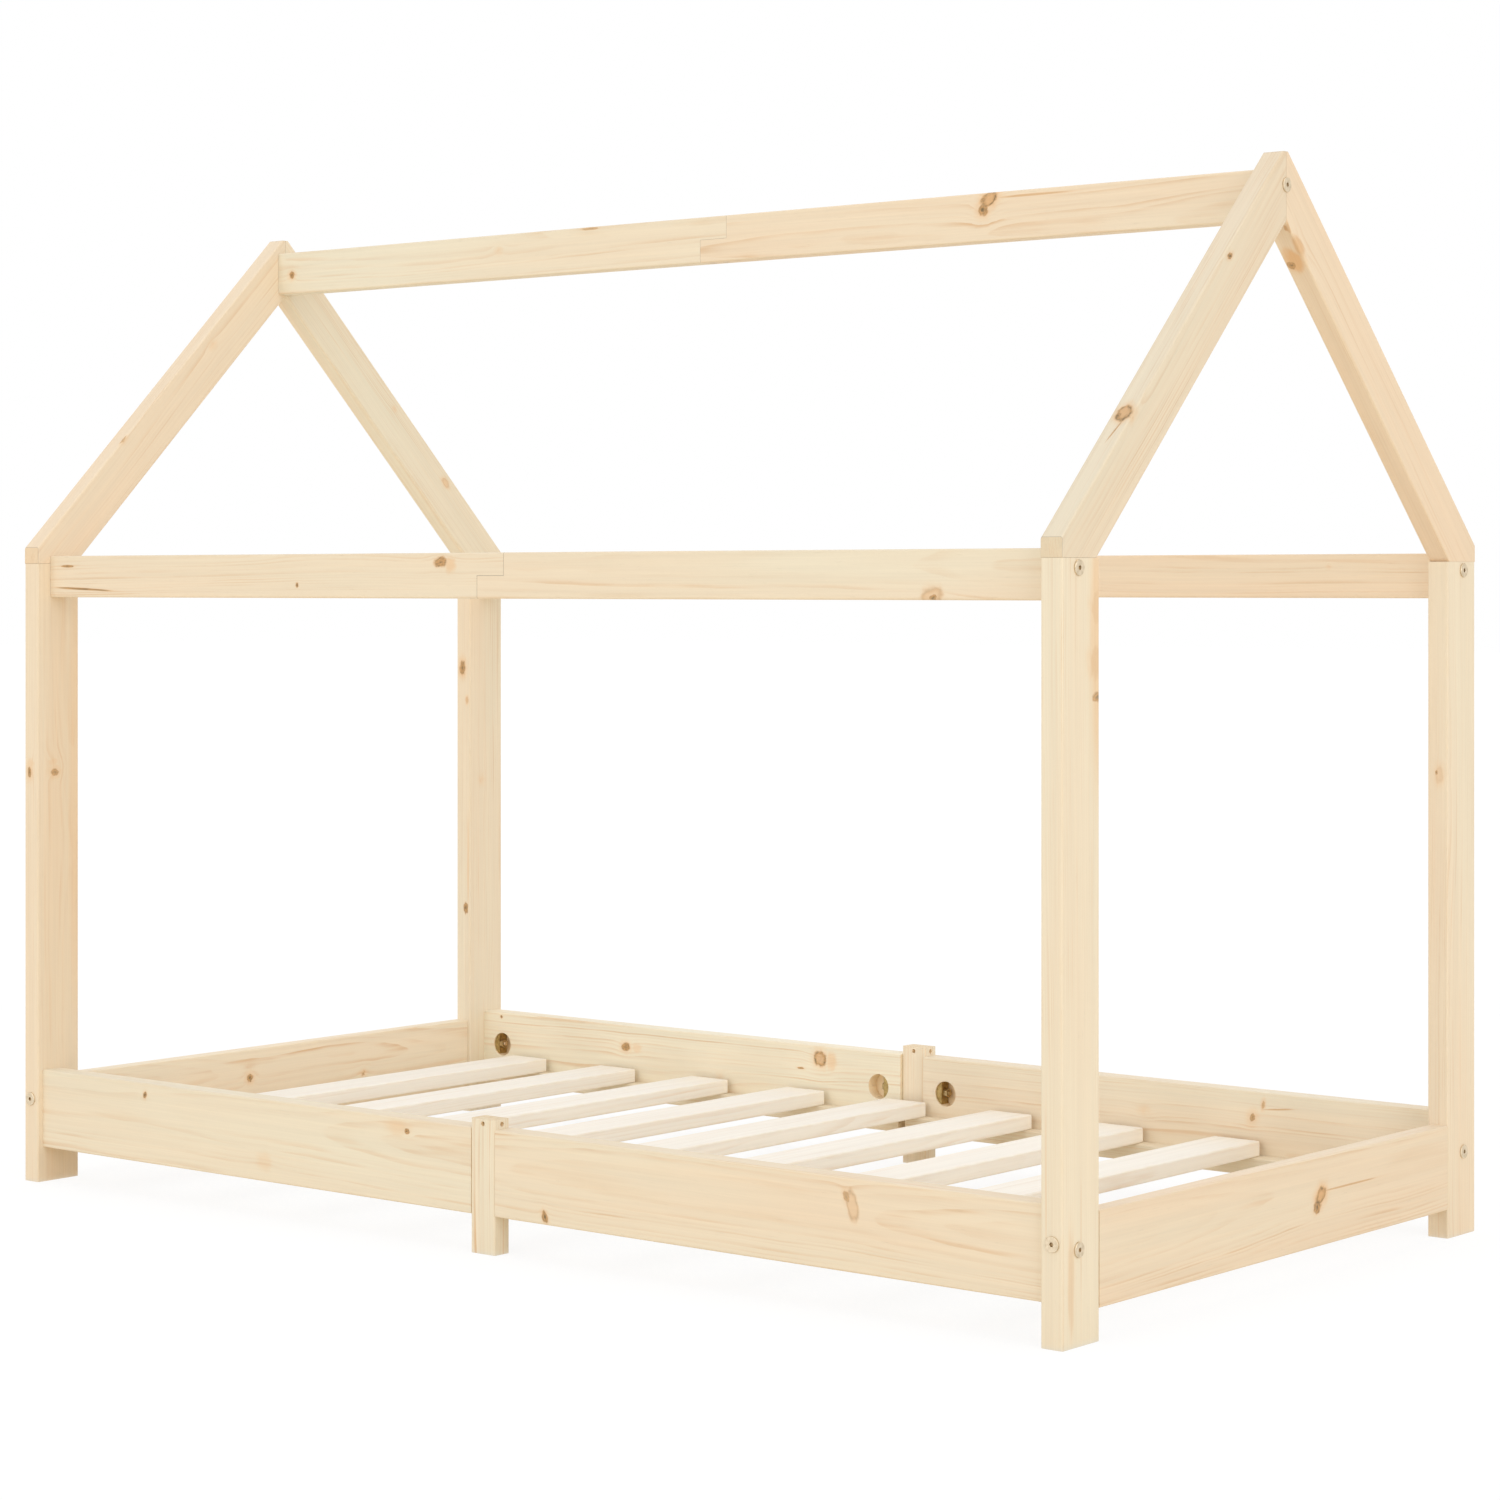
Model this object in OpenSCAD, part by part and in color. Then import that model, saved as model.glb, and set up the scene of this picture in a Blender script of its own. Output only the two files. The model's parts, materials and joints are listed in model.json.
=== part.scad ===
// House-shaped floor bed frame for a small child, in solid pine.
// Millimetres, +Z up, origin on the floor at the middle of the frame.
// Left and right lie along X, near and far along Y.

/* [Overall] */
// Length over the end faces of the posts
bed_l = 1460; // [1300:5:1700]
// Width over the side faces of the posts
bed_w = 780; // [640:5:900]

/* [Timber] */
// Radius of the eased long edges of all the timber
ease = 2; // [1:0.5:3]

/* [Posts and roof] */
// Height of the posts
post_h = 718; // [600:1:900]
// Thickness of the posts and rafters, along X
frame_t = 24; // [22:1:32]
// Width of the posts, along Y
post_w = 60; // [58:1:80]
// Width of the rafters, square to their length
rafter_w = 53; // [46:1:54]
// Slope of the roof in degrees
roof_pitch = 45; // [41:1:50]
// Height of the upright cut at the foot of each rafter
foot_rise = 19; // [18:1:28]
// Width of the flat on top of the gable
apex_flat = 10; // [4:1:16]

/* [Ridge beam] */
// Thickness of the ridge beam
ridge_t = 24; // [20:1:32]
// Height of the ridge beam
ridge_h = 51; // [46:1:60]
// Depth of the ridge beam's top below the top of the gable
ridge_drop = 17; // [14:1:19]

/* [Top rails] */
// Thickness of the top rails
rail_t = 24; // [20:1:30]
// Height of the top rails
rail_h = 48; // [44:1:60]
// Set-back of the top rails from the outer side face
rail_set = 18; // [15:1:19]
// Height of the rail's top above the top of the posts
rail_over = 9; // [0:1:9]
// Length of the half-lap joints of the ridge and the rails
lap_l = 38; // [30:1:60]

/* [Side boards] */
// Thickness of the side boards
side_t = 26; // [25:1:32]
// Height of the side boards
side_h = 90; // [86:1:120]
// Set-back of the side boards from the outer side face
side_set = 7; // [5:1:8]
// Height of the side boards above the floor
side_z = 40; // [30:1:60]

/* [End boards] */
// Thickness of the end boards
end_t = 19; // [18:1:22]
// Height of the end boards
end_h = 90; // [82:1:110]
// Height of the end boards above the floor
end_z = 30; // [25:1:38]

/* [Centre legs] */
// Width of the centre legs, along X
leg_w = 34; // [32:1:60]
// Thickness of the centre legs, along Y
leg_t = 22; // [21:1:26]
// Height of the centre legs above the top of the side boards
leg_over = 10; // [9:1:30]
// Diameter of the small blind holes at the top of the centre legs
leg_hole_d = 5; // [3:0.5:6]
// Distance of the small blind holes below the top of the centre legs
leg_hole_drop = 5; // [4:0.5:6]
// Depth of the small blind holes at the top of the centre legs
leg_hole_deep = 6; // [3:1:7]

/* [Slats] */
// Width of each slat
slat_w = 60; // [50:1:80]
// Thickness of each slat
slat_t = 17; // [14:1:20]
// Gap between a slat's end and the side board
slat_gap = 7; // [3:1:9]
// Distance from the left end face to the middle of the first slat
first_slat = 112; // [80:1:130]
// Distance from the middle of the last slat to the right end face
last_slat = 120; // [80:1:130]
// Width and height of the battens that carry the slats
batten_s = 20; // [18:1:26]

/* [Bolts and nuts] */
// Diameter of the bolts
bolt_d = 6; // [5:0.5:6.5]
// Diameter of the flat bolt heads
head_d = 15; // [12:0.5:17]
// Thickness of the flat bolt heads
head_t = 1.8; // [1.2:0.1:3]
// Width across the flats of the hex socket in the heads
socket_af = 4; // [3:0.5:4]
// Distance from the outer side face to the bolts along X
bolt_in = 26; // [25:0.5:28]
// Depth of the rail bolts below the top of the posts
rail_bolt_drop = 9; // [8:0.5:12]
// Height of the side board bolts above the lower edge of their board
side_bolt_up = 48.5; // [46:0.5:50]
// Distance from the end face to the end board bolts
end_bolt_in = 11; // [10:0.5:12]
// Wood left between the bolts that cross inside a post
bolt_web = 1; // [0.8:0.1:4]
// Height of the ridge bolts above the lower edge of the ridge beam
ridge_bolt_up = 35; // [34:0.5:36]
// Distance from the outer side face to the rods in the centre legs
rod_in = 23; // [23:0.5:24]
// Length that a bolt reaches past the post or the rafter
bolt_reach = 26; // [24:1:40]
// Length of the threaded inserts
insert_l = 18; // [12:1:20]
// Diameter of the nut pockets in the side boards
pocket_d = 30; // [28:1:34]
// Depth of the nut pockets
pocket_deep = 16; // [16:0.5:17]
// Distance from a board's end to the middle of its nut pocket
pocket_in = 33; // [30:1:50]
// Thickness of the half-moon washers
moon_t = 8; // [6:0.5:9]
// Length of the half-moon washers along the pocket
moon_l = 14; // [14:0.5:15]
// Thickness of the hex nuts
nut_t = 5; // [4:0.5:7]
// Length of thread past each nut
bolt_tail = 2; // [1:0.5:4]

/* [Dowels and screws] */
// Diameter of the wooden dowels
dowel_d = 8; // [6:0.5:8]
// Length of the dowels in the rafter feet and the end boards
dowel_l = 40; // [30:1:40]
// Length of the shorter dowels, in all joints but the rafter feet and end boards
short_dowel_l = 30; // [20:1:32]
// Distance of the outer foot dowel from the outer side face
foot_dowel_out = 14; // [12:0.5:16]
// Distance of the inner foot dowel from the outer side face
foot_dowel_in = 42; // [39:0.5:44]
// Depth of the upper apex dowel below the top of the gable
apex_dowel_drop = 21; // [20:0.5:22]
// Height of the lower apex dowel above the underside of the apex
apex_dowel_up = 8; // [7:0.5:8]
// Height of the ridge dowel above the lower edge of the ridge beam
ridge_dowel_up = 20; // [20:0.5:22]
// Height of the rail dowel above the lower edge of the rail
rail_dowel_up = 11; // [8:0.5:12]
// Distance of the side board dowels from the board's edges
side_dowel_in = 18; // [12:0.5:20]
// Height of the lower end board dowel above the board's lower edge
end_dowel_low = 15; // [8:0.5:20]
// Height of the upper end board dowel above the board's lower edge
end_dowel_high = 45; // [36:0.5:48]
// Diameter of the lap and batten screws
screw_d = 4; // [3:0.5:5]
// Diameter of the slat screws
slat_screw_d = 3.5; // [3:0.5:4]
// Length of a screw's thread in the second piece
screw_bite = 12; // [8:1:14]
// Distance of the slat screws from the slat's middle, along X
slat_screw_off = 20; // [16:1:22]
// Distance of the batten screws from the batten's ends
batten_screw_in = 50; // [40:1:70]
// Distance of the slat screws from the slat's end
slat_screw_in = 6.5; // [5:0.5:7]

/* [Clearances] */
// Clearance on the diameter of bolts in their bores
bore_clear = 0.4; // [0.2:0.1:0.6]
// Clearance on the diameter of dowels, inserts and screws in theirs
fit_clear = 0.1; // [0.05:0.05:0.3]
// Spare depth of a blind bore past the end of its dowel, screw or bolt
end_clear = 1; // [0.5:0.5:2]

/* [Hidden] */
$fn = 48;
// Overrun of a cut past the face that it opens
cut = 1;
// Batten length that runs on behind the centre leg
batten_overrun = 12;
SLATS = 9;

WOOD = [0.93, 0.85, 0.72];
PALE_WOOD = [0.93, 0.89, 0.83];
DOWEL_WOOD = [0.80, 0.66, 0.48];
STEEL = [0.80, 0.80, 0.78];
DARK_STEEL = [0.42, 0.41, 0.39];
BRASS = [0.78, 0.66, 0.40];

LEFT = -1;
RIGHT = 1;
NEAR = -1;
FAR = 1;
ENDS = [LEFT, RIGHT];
SIDES = [NEAR, FAR];

// Inside a corner, x runs from the end face to the middle of the bed and
// y from the outer side face to the middle, as on the near left corner.
mid_x = bed_l / 2;
mid_y = bed_w / 2;

// Gable
eave_z = post_h + foot_rise;
rafter_rise = rafter_w / cos(roof_pitch);
apex_z = eave_z + (mid_y - apex_flat / 2) * tan(roof_pitch);
inner_apex_z = eave_z - rafter_rise + mid_y * tan(roof_pitch);

// Ridge beam and top rails
ridge_z = apex_z - ridge_drop - ridge_h;
ridge_y = mid_y - ridge_t / 2;
rail_z = post_h + rail_over - rail_h;
rail_mid_y = rail_set + rail_t / 2;

// Boards, legs, battens and slats
side_end = mid_x - leg_w / 2;
side_in = side_set + side_t;
side_mid_y = side_set + side_t / 2;
leg_h = side_z + side_h + leg_over;
leg_mid_y = side_set + leg_t / 2;
leg_hole_z = leg_h - leg_hole_drop;
batten_end = side_end + batten_overrun;
slat_z = side_z + batten_s;
slat_end = side_in + slat_gap;
slat_pitch = (bed_l - first_slat - last_slat) / (SLATS - 1);

// Bolts, rods, nuts and inserts
bore_d = bolt_d + bore_clear;
rail_bolt_z = post_h - rail_bolt_drop;
side_bolt_z = side_z + side_bolt_up;
end_bolt_z = side_bolt_z + bolt_d + bore_clear / 2 + bolt_web;
ridge_bolt_z = ridge_z + ridge_bolt_up;
nut_af = bolt_d + 4;
insert_d = bolt_d + 4;
// Depth of an insert's mouth below the end of its board
insert_recess = 0.5;
post_pocket = frame_t + pocket_in;
leg_pocket = side_end - pocket_in;
pocket_y = side_in - pocket_deep;
// Gap between a half-moon washer and the bottom of its pocket
moon_gap = 0.5;
washer_wall = pocket_in - pocket_d / 2;
nut_stack = washer_wall + moon_t + nut_t + bolt_tail;
// Depth of the hex sockets and width of the bevel round heads and bolt ends
socket_deep = 3.5;
bolt_rim = 0.5;

// Dowels and screws
foot_dowels = [foot_dowel_out, foot_dowel_in];
apex_dowels_z = [apex_z - apex_dowel_drop, inner_apex_z + apex_dowel_up];
ridge_dowel_z = ridge_z + ridge_dowel_up;
rail_dowel_z = rail_z + rail_dowel_up;
side_dowels_z = [side_z + side_dowel_in, side_z + side_h - side_dowel_in];
end_dowels_z = [end_z + end_dowel_low, end_z + end_dowel_high];
leg_dowel_z = side_z + side_dowel_in;
// Depth of a dowel in the centre leg, and the bevel on every dowel's ends
leg_dowel_in = 12;
dowel_bevel = 0.8;
lap_screws_x = [-lap_l / 4, lap_l / 4];
batten_screws_x = [
    frame_t + batten_screw_in,
    (frame_t + side_end) / 2,
    side_end - batten_screw_in
];
batten_screw_z = side_z + batten_s / 2;
slat_screw_y = slat_end + slat_screw_in;
// Screw heads and their cross recess, as multiples of the shank
head_ratio = 1.9;
cross_l_ratio = 1.1;
cross_w_ratio = 0.22;
cross_deep_ratio = 0.33;

// Places a shape drawn for the near left corner at any of the four corners
module at_corner(end, side) {
    translate([end * mid_x, side * mid_y, 0])
        mirror([end == RIGHT ? 1 : 0, 0, 0])
            mirror([0, side == FAR ? 1 : 0, 0])
                children();
}

module at_all_corners() {
    for (end = ENDS, side = SIDES)
        at_corner(end, side)
            children();
}

// Cross-section of the timber, with its corners eased
module section(w, h) {
    translate([ease, 0])
        square([w - 2 * ease, h]);
    translate([0, ease])
        square([w, h - 2 * ease]);
    for (x = [ease, w - ease], y = [ease, h - ease])
        translate([x, y])
            circle(r = ease);
}

// Timber with its grain along each axis, from the origin, sized in X, Y, Z
module timber_x(size) {
    rotate([90, 0, 90])
        linear_extrude(height = size.x)
            section(size.y, size.z);
}

module timber_y(size) {
    translate([0, size.y, 0])
        rotate([90, 0, 0])
            linear_extrude(height = size.y)
                section(size.x, size.z);
}

module timber_z(size) {
    linear_extrude(height = size.z)
        section(size.x, size.y);
}

// Round bars along each axis, used for bores and for the pins in them
module bar_x(x0, x1, y, z, d) {
    translate([x0, y, z])
        rotate([0, 90, 0])
            cylinder(d = d, h = x1 - x0);
}

module bar_y(y0, y1, x, z, d) {
    translate([x, y0, z])
        rotate([-90, 0, 0])
            cylinder(d = d, h = y1 - y0);
}

module bar_z(z0, z1, x, y, d) {
    translate([x, y, z0])
        cylinder(d = d, h = z1 - z0);
}

// A dowel about the origin along Z, or with its clearances the bore for it
module dowel(l, bore = false) {
    full_l = bore ? l + 2 * end_clear : l;
    full_d = bore ? dowel_d + fit_clear : dowel_d;
    bevel = bore ? 0 : dowel_bevel;
    rotate_extrude()
        polygon([
            [0, -full_l / 2],
            [full_d / 2 - bevel, -full_l / 2],
            [full_d / 2, -full_l / 2 + bevel],
            [full_d / 2, full_l / 2 - bevel],
            [full_d / 2 - bevel, full_l / 2],
            [0, full_l / 2]
        ]);
}

module foot_dowel_pair(bore = false) {
    for (y = foot_dowels)
        translate([frame_t / 2, y, post_h])
            dowel(dowel_l, bore);
}

module apex_dowel_pair(bore = false) {
    for (z = apex_dowels_z)
        translate([frame_t / 2, mid_y, z])
            rotate([90, 0, 0])
                dowel(short_dowel_l, bore);
}

module ridge_dowel(bore = false) {
    translate([frame_t, mid_y, ridge_dowel_z])
        rotate([0, 90, 0])
            dowel(short_dowel_l, bore);
}

module rail_dowel(bore = false) {
    translate([frame_t, rail_mid_y, rail_dowel_z])
        rotate([0, 90, 0])
            dowel(short_dowel_l, bore);
}

module side_dowel_pair(bore = false) {
    for (z = side_dowels_z)
        translate([frame_t, side_mid_y, z])
            rotate([0, 90, 0])
                dowel(short_dowel_l, bore);
}

module end_dowel_pair(bore = false) {
    for (z = end_dowels_z)
        translate([end_t / 2, post_w, z])
            rotate([90, 0, 0])
                dowel(dowel_l, bore);
}

module leg_dowel(bore = false) {
    translate([side_end + leg_dowel_in - short_dowel_l / 2, leg_mid_y, leg_dowel_z])
        rotate([0, 90, 0])
            dowel(short_dowel_l, bore);
}

// Flat-headed bolt that points along +Z, with the seat of its head at the origin
module bolt(l) {
    difference() {
        rotate_extrude()
            polygon([
                [0, -head_t],
                [head_d / 2 - bolt_rim, -head_t],
                [head_d / 2, -head_t + bolt_rim],
                [head_d / 2, 0],
                [bolt_d / 2, 0],
                [bolt_d / 2, l - bolt_rim],
                [bolt_d / 2 - bolt_rim, l],
                [0, l]
            ]);
        translate([0, 0, -head_t - cut])
            cylinder(d = socket_af / cos(30), h = socket_deep + cut, $fn = 6);
    }
}

module bolt_x(x, y, z, l) {
    translate([x, y, z])
        rotate([0, 90, 0])
            bolt(l);
}

module bolt_y(x, y, z, l) {
    translate([x, y, z])
        rotate([-90, 0, 0])
            bolt(l);
}

// Threaded insert along +Z, or the stepped bore that takes it and the bolt
module insert() {
    difference() {
        cylinder(d = insert_d, h = insert_l);
        translate([0, 0, -cut])
            cylinder(d = bolt_d + fit_clear, h = insert_l + 2 * cut);
    }
}

module insert_bore() {
    translate([0, 0, -cut])
        cylinder(d = insert_d + fit_clear, h = cut + insert_recess + insert_l);
    cylinder(d = bore_d, h = bolt_reach + end_clear);
}

// Countersunk screw that points along +Z, with the face of its head at the
// origin; through is the thickness of the first piece
module screw(d, through) {
    l = through + screw_bite;
    head = d * head_ratio;
    head_h = (head - d) / 2;
    cross_w = d * cross_w_ratio;
    cross_l = d * cross_l_ratio;
    difference() {
        rotate_extrude()
            polygon([
                [0, 0],
                [head / 2, 0],
                [d / 2, head_h],
                [d / 2, l - d],
                [0, l]
            ]);
        for (turn = [0, 90])
            rotate([0, 0, turn])
                translate([-cross_l / 2, -cross_w / 2, -cut])
                    cube([cross_l, cross_w, cut + d * cross_deep_ratio]);
    }
}

// Bore for the screw, which opens with a countersink at the origin
module screw_bore(d, through) {
    l = through + screw_bite + end_clear;
    head = d * head_ratio + fit_clear;
    translate([0, 0, -cut])
        cylinder(d = d + fit_clear, h = cut + l);
    cylinder(d1 = head, d2 = 0, h = head / 2);
    translate([0, 0, -cut])
        cylinder(d = head, h = cut);
}

// Half-moon washer in a nut pocket at x, on the pocket's wall towards dir
module half_moon(x, dir, bolt_y) {
    r = (pocket_d - bore_clear) / 2;
    inner = r - moon_t;
    difference() {
        intersection() {
            bar_y(pocket_y + moon_gap, pocket_y + moon_gap + moon_l, x, side_bolt_z, 2 * r);
            translate([dir > 0 ? x + inner : x - r - cut, pocket_y - cut, side_bolt_z - r - cut])
                cube([moon_t + cut, pocket_deep + 2 * cut, 2 * (r + cut)]);
        }
        bar_x(x - pocket_d, x + pocket_d, bolt_y, side_bolt_z, bore_d);
    }
}

// Hex nut against the flat face of the half-moon washer
module pocket_nut(x, dir, bolt_y) {
    flat = x + dir * ((pocket_d - bore_clear) / 2 - moon_t);
    translate([dir > 0 ? flat - nut_t : flat, bolt_y, side_bolt_z])
        rotate([0, 90, 0])
            difference() {
                cylinder(d = nut_af / cos(30), h = nut_t, $fn = 6);
                translate([0, 0, -cut])
                    cylinder(d = bolt_d + fit_clear, h = nut_t + 2 * cut);
            }
}

module post(end, side) {
    color(WOOD)
        at_corner(end, side)
            difference() {
                timber_z([frame_t, post_w, post_h]);
                bar_x(-cut, frame_t + cut, bolt_in, rail_bolt_z, bore_d);
                bar_x(-cut, frame_t + cut, bolt_in, side_bolt_z, bore_d);
                bar_y(-cut, post_w + cut, end_bolt_in, end_bolt_z, bore_d);
                foot_dowel_pair(bore = true);
                rail_dowel(bore = true);
                side_dowel_pair(bore = true);
                end_dowel_pair(bore = true);
            }
}

// Sloping timber, cut off level on the post, upright at the eave and at the
// apex joint, and flat on top of the gable
module rafter_timber() {
    slope_l = mid_y / cos(roof_pitch);
    intersection() {
        translate([0, 0, eave_z])
            rotate([roof_pitch, 0, 0])
                translate([0, -rafter_w, -rafter_w])
                    timber_y([frame_t, slope_l + 2 * rafter_w, rafter_w]);
        translate([-cut, 0, post_h])
            cube([frame_t + 2 * cut, mid_y, apex_z - post_h]);
    }
}

module rafter(end, side) {
    color(WOOD)
        at_corner(end, side)
            difference() {
                rafter_timber();
                bar_x(-cut, frame_t + cut, mid_y, ridge_bolt_z, bore_d);
                foot_dowel_pair(bore = true);
                apex_dowel_pair(bore = true);
                ridge_dowel(bore = true);
            }
}

// One half of a beam that is joined by a half-lap in the middle of the bed:
// the left half ends in the upper tongue and the right half in the lower one
module beam_half(end, y, z, t, h) {
    lap_z = end == LEFT ? z - cut : z + h / 2;
    difference() {
        translate([frame_t, y, z])
            timber_x([mid_x + lap_l / 2 - frame_t, t, h]);
        translate([mid_x - lap_l / 2, y - cut, lap_z])
            cube([lap_l + cut, t + 2 * cut, h / 2 + cut]);
    }
}

module lap_screw_bores(y, z, h) {
    for (x = lap_screws_x)
        translate([mid_x + x, y, z])
            screw_bore(screw_d, h / 2);
}

module ridge_beam(end) {
    color(WOOD)
        at_corner(end, NEAR)
            difference() {
                beam_half(end, ridge_y, ridge_z, ridge_t, ridge_h);
                translate([frame_t, mid_y, ridge_bolt_z])
                    rotate([0, 90, 0])
                        insert_bore();
                ridge_dowel(bore = true);
                lap_screw_bores(mid_y, ridge_z, ridge_h);
            }
}

module top_rail(end, side) {
    color(WOOD)
        at_corner(end, side)
            difference() {
                beam_half(end, rail_set, rail_z, rail_t, rail_h);
                translate([frame_t, bolt_in, rail_bolt_z])
                    rotate([0, 90, 0])
                        insert_bore();
                rail_dowel(bore = true);
                lap_screw_bores(rail_mid_y, rail_z, rail_h);
            }
}

module side_board(end, side) {
    color(WOOD)
        at_corner(end, side)
            difference() {
                translate([frame_t, side_set, side_z])
                    timber_x([side_end - frame_t, side_t, side_h]);
                bar_x(frame_t - cut, post_pocket, bolt_in, side_bolt_z, bore_d);
                bar_x(leg_pocket, side_end + cut, rod_in, side_bolt_z, bore_d);
                for (x = [post_pocket, leg_pocket])
                    bar_y(pocket_y, side_in + cut, x, side_bolt_z, pocket_d);
                side_dowel_pair(bore = true);
                leg_dowel(bore = true);
                at_batten_screws()
                    screw_bore(screw_d, batten_s);
            }
}

module end_board(end) {
    color(WOOD)
        difference() {
            at_corner(end, NEAR)
                translate([0, post_w, end_z])
                    timber_y([end_t, bed_w - 2 * post_w, end_h]);
            for (side = SIDES)
                at_corner(end, side) {
                    translate([end_bolt_in, post_w, end_bolt_z])
                        rotate([-90, 0, 0])
                            insert_bore();
                    end_dowel_pair(bore = true);
                }
        }
}

// Each centre leg stands between the ends of two side boards
module centre_leg(side) {
    color(WOOD)
        difference() {
            at_corner(LEFT, side)
                translate([side_end, side_set, 0])
                    timber_z([leg_w, leg_t, leg_h]);
            for (end = ENDS)
                at_corner(end, side) {
                    bar_x(side_end - cut, mid_x + cut, rod_in, side_bolt_z, bore_d);
                    leg_dowel(bore = true);
                    leg_side_hole();
                }
            at_corner(LEFT, side)
                leg_face_holes();
        }
}

module leg_side_hole() {
    bar_x(side_end - cut, side_end + leg_hole_deep, leg_mid_y, leg_hole_z, leg_hole_d);
}

module leg_face_holes() {
    bar_y(side_set - cut, side_set + leg_hole_deep, mid_x, leg_hole_z, leg_hole_d);
    bar_y(side_set + leg_t - leg_hole_deep, side_set + leg_t + cut, mid_x, leg_hole_z, leg_hole_d);
}

module at_batten_screws() {
    for (x = batten_screws_x)
        translate([x, side_in + batten_s, batten_screw_z])
            rotate([90, 0, 0])
                children();
}

// Every slat has one screw at each end, off its middle and on the left at
// the near end, so that the middle slat is held by both battens
module at_slat_screws(i, side) {
    off = side == NEAR ? -slat_screw_off : slat_screw_off;
    translate([first_slat + i * slat_pitch + off - mid_x, side * (mid_y - slat_screw_y), side_z])
        children();
}

module batten(end, side) {
    color(WOOD)
        difference() {
            at_corner(end, side)
                difference() {
                    translate([frame_t, side_in, side_z])
                        timber_x([batten_end - frame_t, batten_s, batten_s]);
                    at_batten_screws()
                        screw_bore(screw_d, batten_s);
                }
            for (i = [0 : SLATS - 1])
                at_slat_screws(i, side)
                    screw_bore(slat_screw_d, batten_s);
        }
}

module slat(i) {
    x = first_slat + i * slat_pitch - mid_x;
    color(PALE_WOOD)
        difference() {
            translate([x - slat_w / 2, slat_end - mid_y, slat_z])
                timber_y([slat_w, bed_w - 2 * slat_end, slat_t]);
            for (side = SIDES)
                at_slat_screws(i, side)
                    screw_bore(slat_screw_d, batten_s);
        }
}

module rail_bolts() {
    color(STEEL)
        at_all_corners()
            bolt_x(0, bolt_in, rail_bolt_z, frame_t + bolt_reach);
}

module side_board_bolts() {
    color(STEEL)
        at_all_corners()
            bolt_x(0, bolt_in, side_bolt_z, frame_t + nut_stack);
}

module end_board_bolts() {
    color(STEEL)
        at_all_corners()
            bolt_y(end_bolt_in, 0, end_bolt_z, post_w + bolt_reach);
}

module ridge_bolts() {
    color(STEEL)
        for (end = ENDS)
            at_corner(end, NEAR)
                bolt_x(0, mid_y, ridge_bolt_z, frame_t + bolt_reach);
}

module leg_rods() {
    color(STEEL)
        for (side = SIDES)
            at_corner(LEFT, side)
                bar_x(side_end - nut_stack, side_end + leg_w + nut_stack, rod_in, side_bolt_z, bolt_d);
}

module half_moon_washers() {
    color(DARK_STEEL)
        at_all_corners() {
            half_moon(post_pocket, -1, bolt_in);
            half_moon(leg_pocket, 1, rod_in);
        }
}

module hex_nuts() {
    color(STEEL)
        at_all_corners() {
            pocket_nut(post_pocket, -1, bolt_in);
            pocket_nut(leg_pocket, 1, rod_in);
        }
}

module rail_inserts() {
    color(BRASS)
        at_all_corners()
            translate([frame_t + insert_recess, bolt_in, rail_bolt_z])
                rotate([0, 90, 0])
                    insert();
}

module end_board_inserts() {
    color(BRASS)
        at_all_corners()
            translate([end_bolt_in, post_w + insert_recess, end_bolt_z])
                rotate([-90, 0, 0])
                    insert();
}

module ridge_inserts() {
    color(BRASS)
        for (end = ENDS)
            at_corner(end, NEAR)
                translate([frame_t + insert_recess, mid_y, ridge_bolt_z])
                    rotate([0, 90, 0])
                        insert();
}

module rafter_foot_dowels() {
    color(DOWEL_WOOD)
        at_all_corners()
            foot_dowel_pair();
}

module apex_dowels() {
    color(DOWEL_WOOD)
        for (end = ENDS)
            at_corner(end, NEAR)
                apex_dowel_pair();
}

module ridge_dowels() {
    color(DOWEL_WOOD)
        for (end = ENDS)
            at_corner(end, NEAR)
                ridge_dowel();
}

module rail_dowels() {
    color(DOWEL_WOOD)
        at_all_corners()
            rail_dowel();
}

module side_board_dowels() {
    color(DOWEL_WOOD)
        at_all_corners()
            side_dowel_pair();
}

module end_board_dowels() {
    color(DOWEL_WOOD)
        at_all_corners()
            end_dowel_pair();
}

module leg_dowels() {
    color(DOWEL_WOOD)
        at_all_corners()
            leg_dowel();
}

module lap_screws() {
    color(STEEL)
        for (x = lap_screws_x) {
            translate([x, 0, ridge_z])
                screw(screw_d, ridge_h / 2);
            for (side = SIDES)
                translate([x, side * (mid_y - rail_mid_y), rail_z])
                    screw(screw_d, rail_h / 2);
        }
}

module batten_screws() {
    color(STEEL)
        at_all_corners()
            at_batten_screws()
                screw(screw_d, batten_s);
}

module slat_screws() {
    color(STEEL)
        for (i = [0 : SLATS - 1], side = SIDES)
            at_slat_screws(i, side)
                screw(slat_screw_d, batten_s);
}

post(LEFT, NEAR);  // near_left_post
post(RIGHT, NEAR);  // near_right_post
post(LEFT, FAR);  // far_left_post
post(RIGHT, FAR);  // far_right_post
rafter(LEFT, NEAR);  // near_left_rafter
rafter(RIGHT, NEAR);  // near_right_rafter
rafter(LEFT, FAR);  // far_left_rafter
rafter(RIGHT, FAR);  // far_right_rafter
ridge_beam(LEFT);  // ridge_beam_left
ridge_beam(RIGHT);  // ridge_beam_right
top_rail(LEFT, NEAR);  // near_left_top_rail
top_rail(RIGHT, NEAR);  // near_right_top_rail
top_rail(LEFT, FAR);  // far_left_top_rail
top_rail(RIGHT, FAR);  // far_right_top_rail
side_board(LEFT, NEAR);  // near_left_side_board
side_board(RIGHT, NEAR);  // near_right_side_board
side_board(LEFT, FAR);  // far_left_side_board
side_board(RIGHT, FAR);  // far_right_side_board
end_board(LEFT);  // left_end_board
end_board(RIGHT);  // right_end_board
centre_leg(NEAR);  // near_centre_leg
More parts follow.
